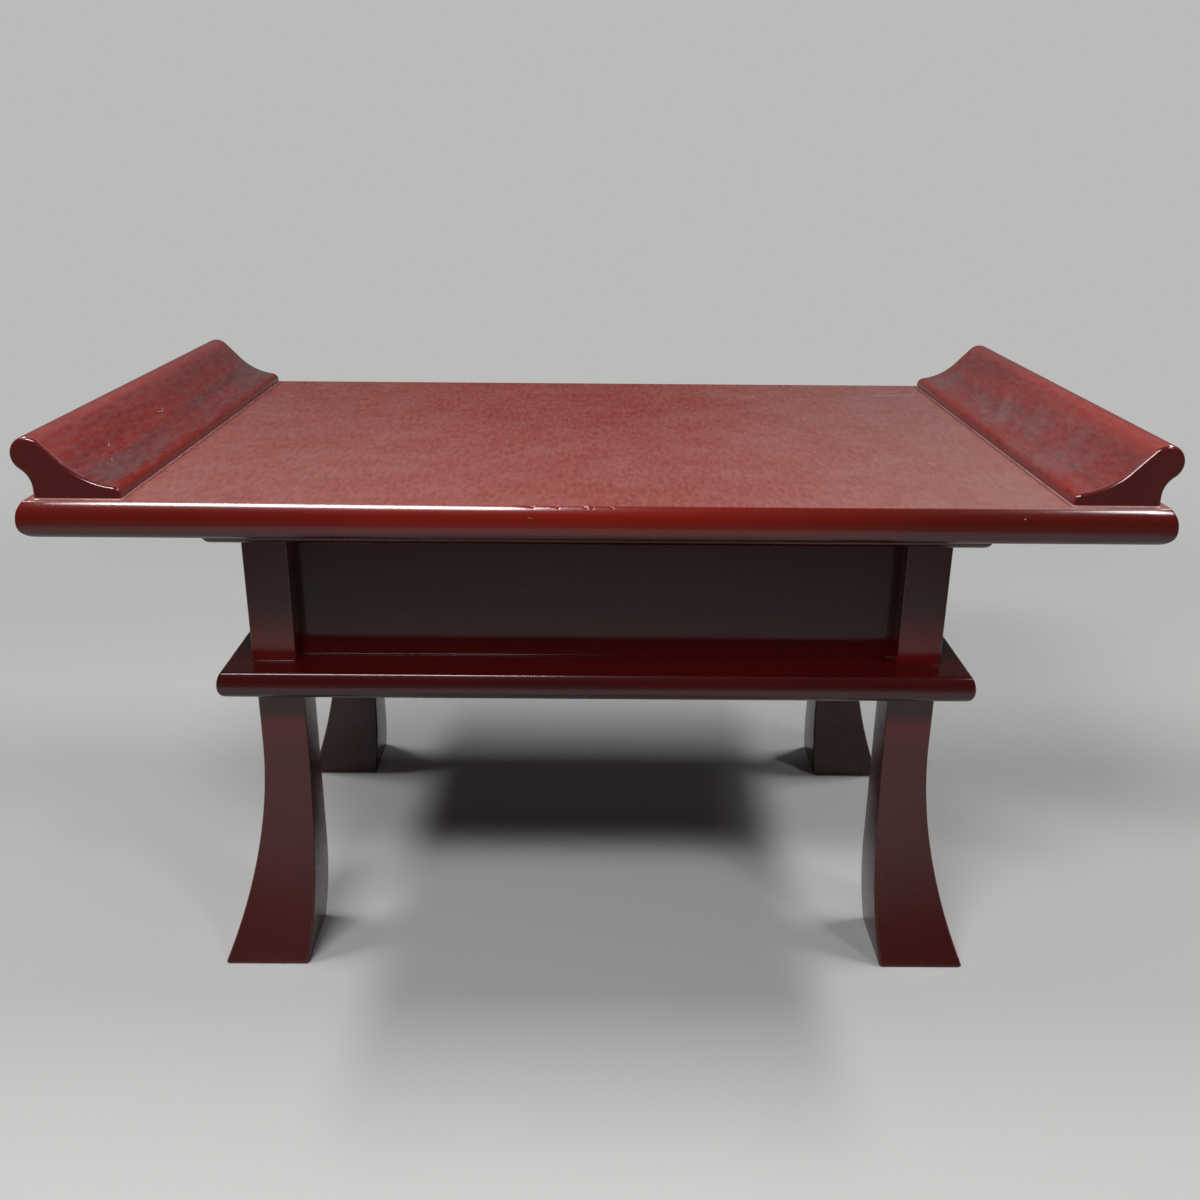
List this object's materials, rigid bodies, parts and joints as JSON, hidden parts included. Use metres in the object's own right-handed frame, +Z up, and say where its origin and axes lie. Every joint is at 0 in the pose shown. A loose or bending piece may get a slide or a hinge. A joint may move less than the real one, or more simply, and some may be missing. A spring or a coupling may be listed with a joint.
{
  "type": "sutra table",
  "caption": "Low table with rolled scroll ends on its top board, a recessed panel box, a tier board and sabre legs, in dark red lacquer; it holds sutra books before a household altar.",
  "frame": {"origin": "on the floor under the middle of the table: centre of the bounding box's bottom face", "axes": "+X along the length, to the right seen from the front; +Y from front to back; +Z up"},
  "size_m": [0.602, 0.348, 0.3355],
  "materials": {
    "lacquered_top": "red-brown lacquer over figured veneer, semi-gloss",
    "red_lacquer": "dark red-brown lacquer over wood, semi-gloss",
    "dark_lacquer": "very dark red-brown lacquer over wood, semi-gloss",
    "bare_wood": "bare, planed",
    "screw_steel": "bright zinc"
  },
  "bodies": {
    "root": {"top_board": "lacquered_top", "left_scroll_end": "red_lacquer", "right_scroll_end": "red_lacquer", "scroll_dowels": "bare_wood", "scroll_screws": "screw_steel", "under_top_board": "red_lacquer", "top_screws": "screw_steel", "front_left_post": "red_lacquer", "front_right_post": "red_lacquer", "back_left_post": "red_lacquer", "back_right_post": "red_lacquer", "front_panel": "dark_lacquer", "back_panel": "dark_lacquer", "left_panel": "dark_lacquer", "right_panel": "dark_lacquer", "upper_glue_blocks": "bare_wood", "lower_glue_blocks": "bare_wood", "tier_board": "red_lacquer", "front_left_leg": "red_lacquer", "front_right_leg": "red_lacquer", "back_left_leg": "red_lacquer", "back_right_leg": "red_lacquer"}
  },
  "joints": []
}
